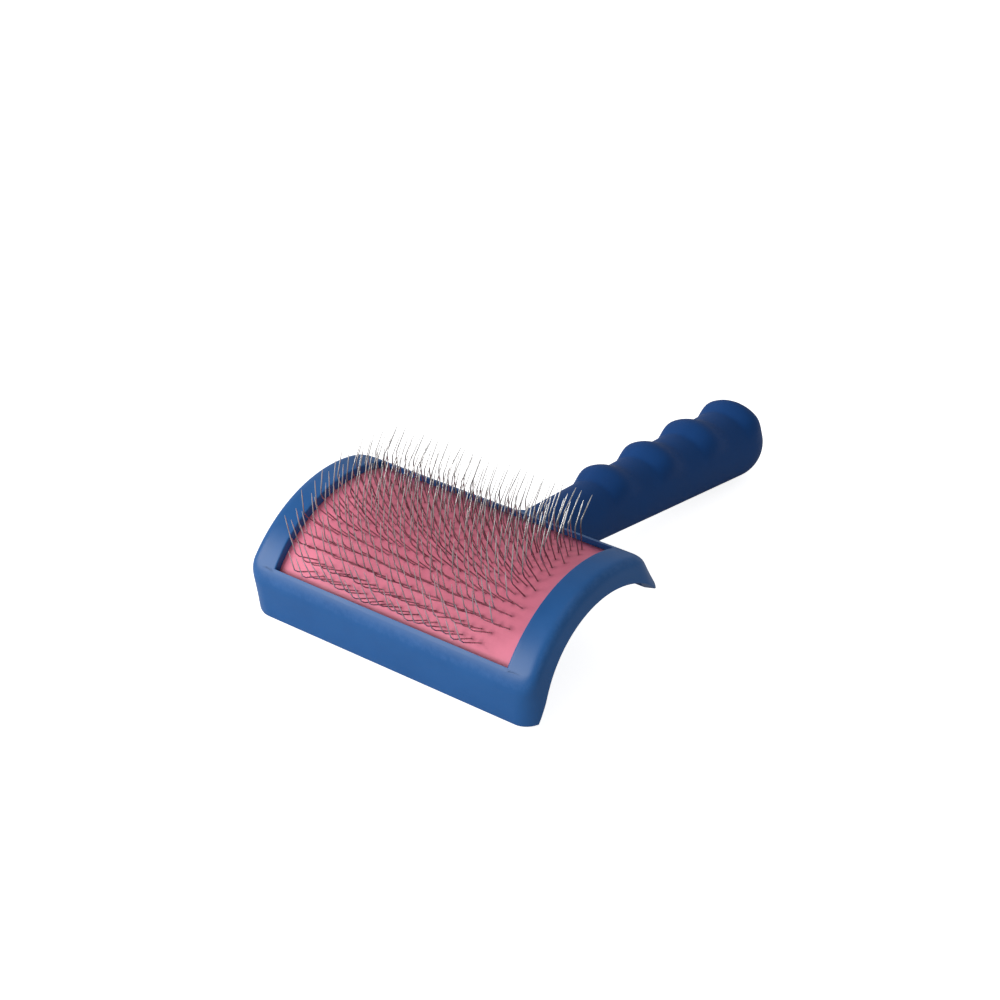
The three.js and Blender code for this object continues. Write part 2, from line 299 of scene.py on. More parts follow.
def surround_section(station):
    """The surround's closed section at one station, as points and how edge-like each one is."""
    (wx, wy), (ox, oy), (nx, ny) = station
    lean = END_LEAN * nx**2 + WALL_LEAN * ny**2

    def outer(z):
        return ox - nx * lean * z, oy - ny * lean * z

    crest = WALL_HEIGHT
    for _ in range(20):
        crest = arch(outer(crest)[1])
    cx, cy = outer(crest)
    far = math.hypot(cx - wx, cy - wy)
    dx, dy = (cx - wx) / far, (cy - wy) / far
    points = []

    def put(x, y, z, edge=0.0):
        points.append((x, y, z, edge))

    # Window edge
    put(wx, wy, arch(wy, LIP_THICKNESS))
    put(wx, wy, arch(wy) - 2 * SOFT_EDGE, 0.2)
    for i in range(5):
        turn = math.pi / 2 * i / 4
        step = SOFT_EDGE * (1 - math.cos(turn))
        x, y = wx + dx * step, wy + dy * step
        put(x, y, arch(y) - SOFT_EDGE * (1 - math.sin(turn)), 0.8)
    # Rim top, up to where the outer edge starts to round over
    rx, ry = cx - nx * EDGE_ROUND, cy - ny * EDGE_ROUND
    sx, sy = wx + dx * SOFT_EDGE, wy + dy * SOFT_EDGE
    for i in range(1, 7):
        x, y = lerp(sx, rx, i / 7), lerp(sy, ry, i / 7)
        put(x, y, arch(y))
    # Rounded outer edge
    top = Vector((rx, ry, arch(ry)))
    corner = Vector((cx, cy, crest))
    wall = Vector((*outer(crest - EDGE_ROUND), crest - EDGE_ROUND))
    for i in range(9):
        share = i / 8
        p = top * (1 - share) ** 2 + corner * 2 * share * (1 - share) + wall * share**2
        put(*p, math.sin(math.pi * share))
    # Wall, down to its bottom edge
    on_end = abs(ox) > RIB[0]
    foot = end_arch(oy) if on_end else 0.0
    outer_notch = notch_height(ox, oy, 0.0)
    foot = max(foot, outer_notch)
    for share in (0.25, 0.5, 0.75):
        z = lerp(crest - EDGE_ROUND, foot + SOFT_EDGE, share)
        put(*outer(z), z)
    for i in range(4):
        turn = math.pi / 2 * i / 3
        inset = SOFT_EDGE * (1 - math.cos(turn))
        z = foot + SOFT_EDGE * (1 - math.sin(turn))
        x, y = outer(z)
        put(x - nx * inset, y - ny * inset, z, 0.7)
    # Underside: end band, rib, pocket wall and lip
    along_x = wx / WINDOW[0]
    along_y = wy / WINDOW[1]
    if abs(along_x) > ON_WINDOW_EDGE:
        rib_x, pocket_x = math.copysign(RIB[0], wx), math.copysign(POCKET[0], wx)
    else:
        rib_x = pocket_x = ox
    rib_y = along_y * RIB[1]
    pocket_y = along_y * POCKET[1]
    on_corner = min(abs(along_x), abs(along_y)) > ON_WINDOW_EDGE
    inner_notch = notch_height(ox, oy, HALF_DEPTH - POCKET[1])
    inner_foot = end_arch(rib_y) if on_end and not on_corner else inner_notch
    rib_foot = arch(rib_y, PLATE_BOTTOM)
    put(rib_x, rib_y, inner_foot, 0.3)
    if abs(ny) == 1:
        put(pocket_x, pocket_y, lerp(inner_foot, rib_foot, 0.5))
        put(pocket_x, pocket_y, max(rib_foot, inner_foot + 0.01))
    else:
        put(rib_x, rib_y, rib_foot, 0.3)
        put(pocket_x, pocket_y, rib_foot, 0.3)
    put(pocket_x, pocket_y, arch(pocket_y, LIP_THICKNESS))
    return points


def build_surround(material):
    sections = [surround_section(s) for s in surround_stations()]
    columns = len(sections[0])
    flat = [p for section in sections for p in section]
    faces = grid_faces(len(sections), columns, close_rows=True, close_columns=True)
    vertices = [p[:3] for p in flat]
    edges = [p[3] for p in flat]
    piece = new_piece("head_surround", vertices, faces, HEAD, material, edges)
    soften(piece, 40)
    return piece


# ---------------------------------------------------------------- curved sheets

def sheet_angle(margin):
    """Half the angle that a sheet in the pocket spans."""
    return math.asin((POCKET[1] - margin) / ARCH_RADIUS)


def build_sheet(name, top, bottom, margin, cell, material, relief=None, span=None):
    """A closed curved sheet between two depths and two angles, with an optional relief(x, y)
    on its top."""
    half_x = POCKET[0] - margin
    across = max(2, round(2 * half_x / cell))
    first, last = span or (-sheet_angle(margin), sheet_angle(margin))
    along = max(2, round((last - first) * ARCH_RADIUS / cell))
    vertices, painted_shades = [], []
    for depth, raised in ((top, relief), (bottom, None)):
        for j in range(along + 1):
            y = ARCH_RADIUS * math.sin(lerp(first, last, j / along))
            for i in range(across + 1):
                x = lerp(-half_x, half_x, i / across)
                # The relief gives a lift and, on the pad, a painted shade value for each top point.
                lift, mark = raised(x, y) if raised else (0.0, 0.0)
                vertices.append((x, y, arch(y, depth) + lift))
                painted_shades.append(mark)
    columns, rows = across + 1, along + 1
    sheet = columns * rows
    faces = grid_faces(rows, columns)
    faces += [tuple(sheet + i for i in reversed(face)) for face in faces]
    border = list(range(columns))
    border += [j * columns + across for j in range(1, rows)]
    border += [(rows - 1) * columns + i for i in range(across - 1, -1, -1)]
    border += [j * columns for j in range(rows - 2, 0, -1)]
    for a, b in zip(border, border[1:] + border[:1]):
        faces.append((b, a, sheet + a, sheet + b))
    piece = new_piece(name, vertices, faces, HEAD, material, painted_shades)
    soften(piece, 50)
    return piece


def pin_roots():
    """The (x, y) of every pin on the pad's face."""
    pitch = 2 * PIN_HALF_LENGTH / (PINS_PER_ROW - 1)
    roots = []
    for row in range(PIN_ROWS):
        y = ARCH_RADIUS * math.sin(PIN_REACH * (2 * row / (PIN_ROWS - 1) - 1))
        odd = row % 2
        cleared = max(0, CORNER_PINS - row)
        for i in range(cleared, PINS_PER_ROW - odd - cleared):
            roots.append((-PIN_HALF_LENGTH + pitch * (i + odd / 2), y))
    return np.array(roots)


def build_pad(material):
    roots = pin_roots()
    pucker, pucker_reach, shade_reach = 0.16, 0.85, 0.75
    # Painted shade: darker round each pin's root, and a painted shadow along the front edge, where the
    # pad tucks under the lip
    tucked, clear = WINDOW[1] - 2.3, WINDOW[1] - 3.2

    def relief(x, y):
        near = ((roots - (x, y)) ** 2).sum(1).min()
        shade = max(math.exp(-near / shade_reach**2), smoothstep(-y, clear, tucked))
        return pucker * math.exp(-near / pucker_reach**2), shade

    return build_sheet("pin_pad_face", PAD_FACE, PAD_BACK, FIT_GAP, PAD_CELL, material, relief)


def build_foam(material):
    """The foam as narrow strips round the arch, each with the middle points of its underside and
    top."""
    reach = sheet_angle(FIT_GAP)
    seam = FOAM_SEAM / ARCH_RADIUS
    strips = []
    for i in range(FOAM_STRIPS):
        first = lerp(-reach, reach, i / FOAM_STRIPS) + seam
        last = lerp(-reach, reach, (i + 1) / FOAM_STRIPS) - seam
        strip = build_sheet(f"foam_strip_{i + 1}", FOAM_TOP, FOAM_BOTTOM, FIT_GAP, SHEET_CELL, material,
                            span=(first, last))
        middle = (first + last) / 2
        y = ARCH_RADIUS * math.sin(middle)
        outwards = Vector((0, math.sin(middle), math.cos(middle)))
        foot = Vector((0, y, arch(y, FOAM_BOTTOM)))
        height = (arch(y, FOAM_TOP) - foot.z) * math.cos(middle)
        strips.append((strip, HEAD @ foot, HEAD @ (foot + outwards * height)))
    return strips


# ---------------------------------------------------------------- grip, neck and core

def ridge_at(along):
    """Height of the finger ridges on top of the grip, steep on the head's side of each."""
    height = 0.0
    for i in range(RIDGE_COUNT):
        crest = GRIP_END - LAST_RIDGE - i * RIDGE_PITCH
        offset = (along - crest) / RIDGE_PITCH
        if offset < 0:
            short_of = 1 + offset / RIDGE_RISE
            eased = (short_of + math.hypot(short_of, RIDGE_SOFTNESS * 2)) / 2
            height += RIDGE_HEIGHT * math.sin(math.pi / 2 * min(eased, 1))
        else:
            height += RIDGE_HEIGHT * (1 + math.cos(math.pi * min(offset / RIDGE_FALL, 1))) / 2
    return height


def belly_at(along):
    return GRIP_BELLY + BELLY_GAIN * (along - GRIP_START)


def grip_ring(along, scale, sides):
    ring = []
    for j in range(sides):
        angle = 2 * math.pi * j / sides
        upper = ((1 + math.cos(angle)) / 2) ** 1.5
        back = GRIP_BACK + BACK_GAIN * (along - GRIP_START)
        limits = math.cos(math.radians(RIDGE_END)), math.cos(math.radians(RIDGE_FULL))
        round_share = smoothstep(math.cos(angle), *limits)
        radius = lerp(belly_at(along), back, upper) + round_share * ridge_at(along)
        radius *= scale
        ring.append((radius * math.sin(angle), along, radius * math.cos(angle)))
    return ring


def oval_ring(along, radius, sides):
    """A ring of the core's oval section."""
    ring = []
    for j in range(sides):
        angle = 2 * math.pi * j / sides
        side = radius - CORE_RADIUS * (1 - CORE_OVAL)
        ring.append((side * math.sin(angle), along, radius * math.cos(angle)))
    return ring


def loft(name, rings, matrix, material, start_pole, end_pole):
    """A closed shell through rings of equal size, with a point at each end."""
    sides = len(rings[0])
    vertices = [p for ring in rings for p in ring]
    faces = grid_faces(len(rings), sides, close_columns=True)
    for pole, first in ((start_pole, 0), (end_pole, (len(rings) - 1) * sides)):
        vertices.append(pole)
        tip = len(vertices) - 1
        faces += [(tip, first + j, first + (j + 1) % sides) for j in range(sides)]
    return new_piece(name, vertices, faces, matrix, material)


def build_grip(material):
    sides, mouth_round = 72, 0.7
    dome_radius = belly_at(GRIP_END) - BELLY_GAIN * GRIP_BELLY
    dome_start = GRIP_END - dome_radius
    rings = []
    for i in range(1, 22):
        angle = math.pi / 2 * (1 - i / 22)
        rings.append(grip_ring(dome_start + dome_radius * math.sin(angle), math.cos(angle), sides))
    count = round((dome_start - GRIP_START) / GRIP_STEP)
    for i in range(count):
        rings.append(grip_ring(lerp(dome_start, GRIP_START + mouth_round, i / count), 1.0, sides))
    for i in range(4):
        turn = math.pi / 2 * i / 3
        inset = mouth_round * (1 - math.cos(turn)) / GRIP_BELLY
        along = GRIP_START + mouth_round * (1 - math.sin(turn))
        rings.append(grip_ring(along, 1 - inset, sides))
    bore = CORE_RADIUS + FIT_GAP
    bore_end = GRIP_END - CORE_END_WALL + FIT_GAP
    rings.append(oval_ring(GRIP_START, bore, sides))
    rings.append(oval_ring(lerp(GRIP_START, bore_end, 0.5), bore, sides))
    rings.append(oval_ring(bore_end, bore, sides))
    piece = loft("grip_cover", rings, HANDLE, material, (0, GRIP_END, 0), (0, bore_end, 0))
    soften(piece, 40)
    return piece


def squared(value):
    return math.copysign(abs(value) ** NECK_SQUARENESS, value)


def neck_ring(share, sides):
    """A ring of the neck, from 0 at the grip to 1 under the middle of the head."""
    collar = GRIP_START - FIT_GAP
    along = collar - share * (collar + NECK_REACH)
    roof = CROWN_HEIGHT + AXIS_DROP
    rise = max(0.0, share - GRIP_START / NECK_REACH) ** 2
    upper = lerp(NECK_TOP, roof, smoothstep(-along, NECK_SHOULDER, NECK_SHOULDER + NECK_TOP))
    lower = (NECK_TOP + NECK_BOTTOM) * rise - NECK_BOTTOM
    width = lerp(NECK_HALF_WIDTH, NECK_FLARE, share**2)
    ring = []
    for j in range(sides):
        angle = 2 * math.pi * j / sides
        height = lerp(lower, upper, 0.5) + squared(math.cos(angle)) * (upper - lower) / 2
        upright = max(0.0, height - NECK_TOP) * math.tan(math.radians(HANDLE_ANGLE))
        ring.append((width * squared(math.sin(angle)), along - upright, height))
    return ring


def under_plate(points):
    """Handle points carried to the head's frame and kept under the middle of the plate."""
    to_head = HEAD.inverted() @ HANDLE
    ceiling = (PLATE_TOP + PLATE_BOTTOM) / 2
    kept = []
    for p in points:
        x, y, z = to_head @ Vector(p)
        if abs(y) < POCKET[1]:
            z = min(z, arch(y, ceiling))
        kept.append((x, y, z))
    return kept


def joined(target, other):
    """Joins other into target and keeps the plain mesh."""
    modifier = target.modifiers.new("join", "BOOLEAN")
    modifier.operation = "UNION"
    modifier.solver = "EXACT"
    modifier.object = other
    settled = target.evaluated_get(bpy.context.evaluated_depsgraph_get())
    result = bpy.data.meshes.new_from_object(settled)
    target.modifiers.remove(modifier)
    target.data = result
    bpy.data.objects.remove(other)
    return target


def build_back(material):
    sides, steps = 64, 40
    rings = [under_plate(neck_ring(i / steps, sides)) for i in range(steps + 1)]
    middles = [np.mean(ring, axis=0) for ring in (rings[0], rings[-1])]
    neck = loft("neck", rings, HEAD, material, tuple(middles[0]), tuple(middles[1]))
    plate = build_sheet("back_shell", PLATE_TOP, PLATE_BOTTOM, FIT_GAP, SHEET_CELL, material)
    core_start = GRIP_START - 3 * FIT_GAP
    core_end = GRIP_END - CORE_END_WALL
    core_rings = [oval_ring(a, CORE_RADIUS, CORE_SIDES) for a in (core_start, core_end)]
    core = loft("core", core_rings, HANDLE, material, (0, core_start, 0), (0, core_end, 0))
    back = joined(joined(plate, neck), core)
    soften(back, 35)
    return back


# ---------------------------------------------------------------- nodes

def node(tree, kind, settings=None, **inputs):
    """A node with its settings; inputs are values or sockets, by name with _ for a space."""
    made = tree.nodes.new(kind)
    for key, value in (settings or {}).items():
        setattr(made, key, value)
    for key, value in inputs.items():
        wire(tree, made.inputs[key.replace("_", " ")], value)
    return made


def wire(tree, socket, value):
    if isinstance(value, bpy.types.NodeSocket):
        tree.links.new(value, socket)
    else:
        socket.default_value = value


def math_node(tree, operation, *values):
    made = tree.nodes.new("ShaderNodeMath")
    made.operation = operation
    for socket, value in zip(made.inputs, values):
        wire(tree, socket, value)
    return made.outputs[0]


def vector_node(tree, operation, *values):
    made = tree.nodes.new("ShaderNodeVectorMath")
    made.operation = operation
    for i, value in enumerate(values):
        wire(tree, made.inputs["Scale"] if operation == "SCALE" and i == 1 else made.inputs[i], value)
    return made.outputs[0]


def combine(tree, x, y, z):
    return node(tree, "ShaderNodeCombineXYZ", X=x, Y=y, Z=z).outputs[0]


def group(name, kind, inputs, outputs):
    """An empty node group with named sockets, and its input and output nodes."""
    tree = bpy.data.node_groups.new(name, kind)
    for side, sockets in (("INPUT", inputs), ("OUTPUT", outputs)):
        for label, (socket_type, default) in sockets.items():
            made = tree.interface.new_socket(label, in_out=side, socket_type=socket_type)
            if default is not None:
                made.default_value = default
    return tree, tree.nodes.new("NodeGroupInput").outputs, tree.nodes.new("NodeGroupOutput")


# ---------------------------------------------------------------- pins

FLOAT, INTEGER, GEOMETRY = "NodeSocketFloat", "NodeSocketInt", "NodeSocketGeometry"


def pin_tree():
    tree, given, out = group(
        "wire_pins",
        "GeometryNodeTree",
        {
            "Geometry": (GEOMETRY, None),
            "Rows": (INTEGER, 14),
            "Pins per Row": (INTEGER, 24),
            "Corner Pins": (INTEGER, 2),
            "Half Length": (FLOAT, 40.0),
            "Row Reach": (FLOAT, 0.5),
            "Arch Radius": (FLOAT, 42.0),
            "Arch Centre": (FLOAT, -20.0),
            "Root Depth": (FLOAT, 1.0),
            "Stem Length": (FLOAT, 9.0),
            "Tip Length": (FLOAT, 8.0),
            "Stem Lean": (FLOAT, 0.3),
            "Knee Bend": (FLOAT, 0.7),
            "Lean Spread": (FLOAT, 0.1),
            "Side Spread": (FLOAT, 0.1),
            "Knee Round": (FLOAT, 1.0),
            "Wire Radius": (FLOAT, 0.25),
            "Tilt": (FLOAT, 0.0),
            "Place": ("NodeSocketVector", (0, 0, 0)),
            "Seed": (INTEGER, 1),
            "Wire": ("NodeSocketMaterial", None),
        },
        {"Geometry": (GEOMETRY, None)},
    )
    rows, per_row = given["Rows"], given["Pins per Row"]

    def m(operation, *values):
        return math_node(tree, operation, *values)

    # One point for each pin, numbered along the rows
    index = tree.nodes.new("GeometryNodeInputIndex").outputs[0]
    row = m("FLOOR", m("DIVIDE", m("ADD", index, 0.5), per_row))
    column = m("SUBTRACT", index, m("MULTIPLY", row, per_row))
    odd = m("FLOORED_MODULO", row, 2.0)
    pitch = m("DIVIDE", m("MULTIPLY", given["Half Length"], 2.0), m("SUBTRACT", per_row, 1.0))
    across = m("SUBTRACT", m("MULTIPLY", pitch, m("ADD", column, m("MULTIPLY", odd, 0.5))),
               given["Half Length"])
    share = m("DIVIDE", row, m("SUBTRACT", rows, 1.0))
    angle = m("MULTIPLY", given["Row Reach"], m("SUBTRACT", m("MULTIPLY", share, 2.0), 1.0))
    points = node(tree, "GeometryNodePoints", Count=m("MULTIPLY", rows, per_row)).outputs[0]

    def spread(reach, offset):
        seed = m("ADD", given["Seed"], offset)
        low = m("MULTIPLY", reach, -1.0)
        made = node(tree, "FunctionNodeRandomValue", {"data_type": "FLOAT"}, Seed=seed)
        floats = [s for s in made.inputs if s.name in ("Min", "Max") and s.type == "VALUE"]
        wire(tree, floats[0], low)
        wire(tree, floats[1], reach)
        return next(s for s in made.outputs if s.type == "VALUE")

    stored = {
        "pin_across": across,
        "pin_angle": m("ADD", angle, spread(0.008, 1.0)),
        "pin_back": m("ADD", given["Stem Lean"], spread(m("MULTIPLY", given["Lean Spread"], 0.6), 6.0)),
        "pin_lean": m("ADD", m("SUBTRACT", given["Knee Bend"], given["Stem Lean"]),
                      spread(given["Lean Spread"], 2.0)),
        "pin_tone": spread(0.5, 7.0),
        "pin_side": spread(given["Side Spread"], 3.0),
        "pin_splay": spread(m("MULTIPLY", given["Side Spread"], 0.25), 4.0),
        "pin_stem": m("ADD", given["Stem Length"], spread(0.3, 5.0)),
    }
    for label, value in stored.items():
        keep = node(tree, "GeometryNodeStoreNamedAttribute",
                    {"data_type": "FLOAT", "domain": "POINT"}, Geometry=points, Name=label)
        wire(tree, next(s for s in keep.inputs if s.name == "Value"), value)
        points = keep.outputs[0]
    cleared = m("MAXIMUM", m("SUBTRACT", given["Corner Pins"], row), 0.0)
    last = m("SUBTRACT", m("SUBTRACT", m("SUBTRACT", per_row, 0.5), odd), cleared)
    before = m("LESS_THAN", column, m("SUBTRACT", cleared, 0.5))
    spare = m("MAXIMUM", before, m("GREATER_THAN", column, last))
    points = node(tree, "GeometryNodeDeleteGeometry", {"domain": "POINT"},
                  Geometry=points, Selection=spare).outputs[0]

    # A straight unit wire on each point, then bent
    line = node(tree, "GeometryNodeCurvePrimitiveLine", Start=(0, 0, 0), End=(0, 0, 1)).outputs[0]
    line = node(tree, "GeometryNodeResampleCurve", Curve=line, Count=11).outputs[0]
    wires = node(tree, "GeometryNodeInstanceOnPoints", Points=points, Instance=line).outputs[0]
    wires = node(tree, "GeometryNodeRealizeInstances", Geometry=wires).outputs[0]

    def stored_value(label):
        made = node(tree, "GeometryNodeInputNamedAttribute", {"data_type": "FLOAT"}, Name=label)
        return made.outputs[0]

    along = node(tree, "GeometryNodeSplineParameter").outputs["Factor"]
    whole = m("ADD", m("ADD", given["Root Depth"], given["Stem Length"]), given["Tip Length"])
    height = m("SUBTRACT", m("MULTIPLY", along, whole), given["Root Depth"])
    knee = given["Knee Round"]
    past = m("SUBTRACT", height, stored_value("pin_stem"))
    turning = m("MINIMUM", m("MAXIMUM", m("ADD", past, knee), 0.0), m("MULTIPLY", knee, 2.0))
    bent = m("DIVIDE", m("MULTIPLY", turning, turning), m("MULTIPLY", knee, 4.0))
    tip = m("ADD", bent, m("MAXIMUM", m("SUBTRACT", past, knee), 0.0))
    stem = m("SUBTRACT", height, tip)
    theta = stored_value("pin_angle")
    outwards = combine(tree, 0.0, m("SINE", theta), m("COSINE", theta))
    leaned = m("SUBTRACT", theta, stored_value("pin_back"))
    stem_way = combine(tree, 0.0, m("SINE", leaned), m("COSINE", leaned))
    onwards = combine(tree, 0.0, m("COSINE", theta), m("MULTIPLY", m("SINE", theta), -1.0))
    lean, side = stored_value("pin_lean"), stored_value("pin_side")
    sideways = combine(tree, m("SINE", side), 0.0, 0.0)
    ahead = vector_node(tree, "SCALE", onwards, m("COSINE", side))
    swept = vector_node(tree, "SCALE", vector_node(tree, "ADD", ahead, sideways), m("SINE", lean))
    upward = vector_node(tree, "SCALE", outwards, m("COSINE", lean))
    tip_way = vector_node(tree, "ADD", upward, swept)
    splay = m("MULTIPLY", stored_value("pin_splay"), m("ADD", stem, tip))
    foot = combine(tree, m("ADD", stored_value("pin_across"), splay), 0.0, given["Arch Centre"])
    place = vector_node(tree, "ADD", foot, vector_node(tree, "SCALE", outwards, given["Arch Radius"]))
    place = vector_node(tree, "ADD", place, vector_node(tree, "SCALE", stem_way, stem))
    place = vector_node(tree, "ADD", place, vector_node(tree, "SCALE", tip_way, tip))
    wires = node(tree, "GeometryNodeSetPosition", Geometry=wires, Position=place).outputs[0]
    keep = node(tree, "GeometryNodeStoreNamedAttribute",
                {"data_type": "FLOAT", "domain": "POINT"}, Geometry=wires, Name="pin_along")
    wire(tree, next(s for s in keep.inputs if s.name == "Value"), along)
    wires = keep.outputs[0]
    slender = m("SUBTRACT", 1.0, m("MULTIPLY", m("MULTIPLY", along, along), 0.3))
    slender = m("SUBTRACT", slender, m("MULTIPLY", m("GREATER_THAN", along, 0.99), 0.35))
    wires = node(tree, "GeometryNodeSetCurveRadius", Curve=wires, Radius=slender).outputs[0]
    ring = node(tree, "GeometryNodeCurvePrimitiveCircle", Resolution=6,
                Radius=given["Wire Radius"]).outputs[0]
    mesh = node(tree, "GeometryNodeCurveToMesh", Curve=wires, Profile_Curve=ring,
                Fill_Caps=True)
    if "Scale" in mesh.inputs:
        wire(tree, mesh.inputs["Scale"], node(tree, "GeometryNodeInputRadius").outputs[0])
    mesh = node(tree, "GeometryNodeSetShadeSmooth", Geometry=mesh.outputs[0]).outputs[0]

    # Into the row's frame
    mesh = node(tree, "GeometryNodeTransform", Geometry=mesh, Translation=given["Place"]).outputs[0]
    mesh = node(tree, "GeometryNodeTransform", Geometry=mesh, Scale=(MM, MM, MM),
                Rotation=combine(tree, given["Tilt"], 0.0, 0.0)).outputs[0]
    mesh = node(tree, "GeometryNodeRealizeInstances", Geometry=mesh).outputs[0]
    mesh = node(tree, "GeometryNodeSetMaterial", Geometry=mesh, Material=given["Wire"]).outputs[0]
    wire(tree, out.inputs[0], mesh)
    return tree


def build_pins(material):
    holder = bpy.data.objects.new("pin_wires", bpy.data.meshes.new("pin_wires"))
    bpy.context.scene.collection.objects.link(holder)
    modifier = holder.modifiers.new("pins", "NODES")
    modifier.node_group = pin_tree()
    values = {
        "Rows": PIN_ROWS,
        "Pins per Row": PINS_PER_ROW,
        "Corner Pins": CORNER_PINS,
        "Half Length": PIN_HALF_LENGTH,
        "Row Reach": PIN_REACH,
        "Arch Radius": ARCH_RADIUS,
        "Arch Centre": ARCH_CENTRE - PAD_FACE,
        "Root Depth": PIN_ROOT,
        "Stem Length": STEM_LENGTH,
        "Tip Length": TIP_LENGTH,
        "Stem Lean": math.radians(STEM_LEAN),
        "Knee Bend": math.radians(KNEE_BEND),
        "Lean Spread": math.radians(5),
        "Side Spread": math.radians(8),
        "Knee Round": 1.1,
        "Wire Radius": WIRE_RADIUS,
        "Tilt": TILT,
        "Place": tuple(head_origin),
        "Seed": SEED,
        "Wire": material,
    }
    for socket in modifier.node_group.interface.items_tree:
        if socket.in_out == "INPUT" and socket.name in values:
            modifier[socket.identifier] = values[socket.name]
    settled = holder.evaluated_get(bpy.context.evaluated_depsgraph_get())
    mesh = bpy.data.meshes.new_from_object(settled)
    holder.modifiers.remove(modifier)
    holder.data = mesh
    if not mesh.materials:
        mesh.materials.append(material)
    return holder


# ---------------------------------------------------------------- materials

def grain_group():
    """Fine moulded grain: a height and a mottled mask, from a scale in bumps per metre."""
    tree, given, out = group(
        "fine_grain",
        "ShaderNodeTree",
        {"Vector": ("NodeSocketVector", None), "Scale": (FLOAT, 2000.0), "Mottle Scale": (FLOAT, 60.0)},
        {"Height": (FLOAT, None), "Mottle": (FLOAT, None), "Speckle": (FLOAT, None)},
    )
    pits = node(tree, "ShaderNodeTexVoronoi", {"feature": "SMOOTH_F1"},
                Vector=given["Vector"], Scale=given["Scale"])
    fine = node(tree, "ShaderNodeTexNoise", Vector=given["Vector"], Scale=given["Scale"], Detail=3.0)
    height = math_node(tree, "MULTIPLY_ADD", pits.outputs["Distance"], 0.6,
                       math_node(tree, "MULTIPLY", fine.outputs[0], 0.4))
    mottle = node(tree, "ShaderNodeTexNoise", Vector=given["Vector"], Scale=given["Mottle Scale"],
                  Detail=5.0, Roughness=0.62)
    speck = node(tree, "ShaderNodeMapRange", Value=fine.outputs[0], From_Min=0.62, From_Max=0.75)
    wire(tree, out.inputs["Height"], height)
    wire(tree, out.inputs["Mottle"], mottle.outputs[0])
    wire(tree, out.inputs["Speckle"], speck.outputs[0])
    return tree


def wear_group():
    """Rubbed edges: the piece's edge mark, broken up by noise."""
    tree, given, out = group(
        "rubbed_edges",
        "ShaderNodeTree",
        {"Vector": ("NodeSocketVector", None), "Edge": (FLOAT, 0.0), "Scale": (FLOAT, 300.0)},
        {"Mask": (FLOAT, None)},
    )
    patches = node(tree, "ShaderNodeTexNoise", Vector=given["Vector"], Scale=given["Scale"],
                   Detail=6.0, Roughness=0.7)
    marked = math_node(tree, "MULTIPLY", given["Edge"], patches.outputs[0])
    mask = node(tree, "ShaderNodeMapRange", Value=marked, From_Min=0.38, From_Max=0.72)
    wire(tree, out.inputs["Mask"], mask.outputs[0])
    return tree


GRAIN = grain_group()
WEAR = wear_group()


def use(tree, shared, **inputs):
    return node(tree, "ShaderNodeGroup", {"node_tree": shared}, **inputs).outputs


def mix_colour(tree, factor, a, b, blend="MIX"):
    made = node(tree, "ShaderNodeMix", {"data_type": "RGBA", "blend_type": blend})
    colours = [s for s in made.inputs if s.type == "RGBA"]
    wire(tree, made.inputs[0], factor)
    wire(tree, colours[0], a)
    wire(tree, colours[1], b)
    return next(s for s in made.outputs if s.type == "RGBA")


def spread_value(tree, value, low, high, low_in=0.3, high_in=0.7):
    """A noise value stretched to run from low to high."""
    return node(tree, "ShaderNodeMapRange", Value=value, From_Min=low_in, From_Max=high_in,
                To_Min=low, To_Max=high).outputs[0]


def new_material(name):
    material = bpy.data.materials.new(name)
    material.use_nodes = True
    tree = material.node_tree
    tree.nodes.clear()
    place = tree.nodes.new("ShaderNodeTexCoord").outputs["Object"]
    surface = tree.nodes.new("ShaderNodeBsdfPrincipled")
    output = tree.nodes.new("ShaderNodeOutputMaterial")
    tree.links.new(surface.outputs[0], output.inputs[0])
    return material, tree, place, surface


def bump(tree, surface, height, strength, distance):
    made = node(tree, "ShaderNodeBump", Height=height, Strength=strength, Distance=distance)
    wire(tree, surface.inputs["Normal"], made.outputs[0])


def wear_and_shade_mark(tree):
    # Reads the "edge" attribute: rubbed-edge wear on the blue parts, painted shade on the pink pad.
    return node(tree, "ShaderNodeAttribute", {"attribute_name": "edge"}).outputs["Fac"]


def moulded_blue():
    """Satin blue plastic with fine spark grain and paler rubbed edges."""
    material, tree, place, surface = new_material("moulded_blue")
    grain = use(tree, GRAIN, Vector=place, Scale=2600.0, Mottle_Scale=55.0)
    rubbed = use(tree, WEAR, Vector=place, Edge=wear_and_shade_mark(tree), Scale=420.0)["Mask"]
    colour = mix_colour(tree, spread_value(tree, grain["Mottle"], 0.0, 1.0),
                        (0.010, 0.092, 0.290, 1), (0.014, 0.108, 0.330, 1))
    colour = mix_colour(tree, math_node(tree, "MULTIPLY", rubbed, 0.35), colour, (0.07, 0.18, 0.45, 1))
    wire(tree, surface.inputs["Base Color"], colour)
    rough = spread_value(tree, grain["Mottle"], 0.34, 0.44)
    wire(tree, surface.inputs["Roughness"], math_node(tree, "MULTIPLY_ADD", rubbed, -0.08, rough))
    surface.inputs["Specular IOR Level"].default_value = 0.32
    bump(tree, surface, grain["Height"], 0.22, 0.00006)
    return material


def soft_navy():
    """Matt navy grip rubber, with a stipple and a faint bloom."""
    material, tree, place, surface = new_material("soft_navy")
    grain = use(tree, GRAIN, Vector=place, Scale=1900.0, Mottle_Scale=70.0)
    colour = mix_colour(tree, spread_value(tree, grain["Mottle"], 0.0, 1.0),
                        (0.0010, 0.046, 0.190, 1), (0.0018, 0.054, 0.218, 1))
    colour = mix_colour(tree, math_node(tree, "MULTIPLY", grain["Speckle"], 0.18), colour,
                        (0.02, 0.08, 0.22, 1))
    wire(tree, surface.inputs["Base Color"], colour)
    wire(tree, surface.inputs["Roughness"], spread_value(tree, grain["Mottle"], 0.50, 0.62))
    surface.inputs["Specular IOR Level"].default_value = 0.2
    bump(tree, surface, grain["Height"], 0.45, 0.00009)
    return material


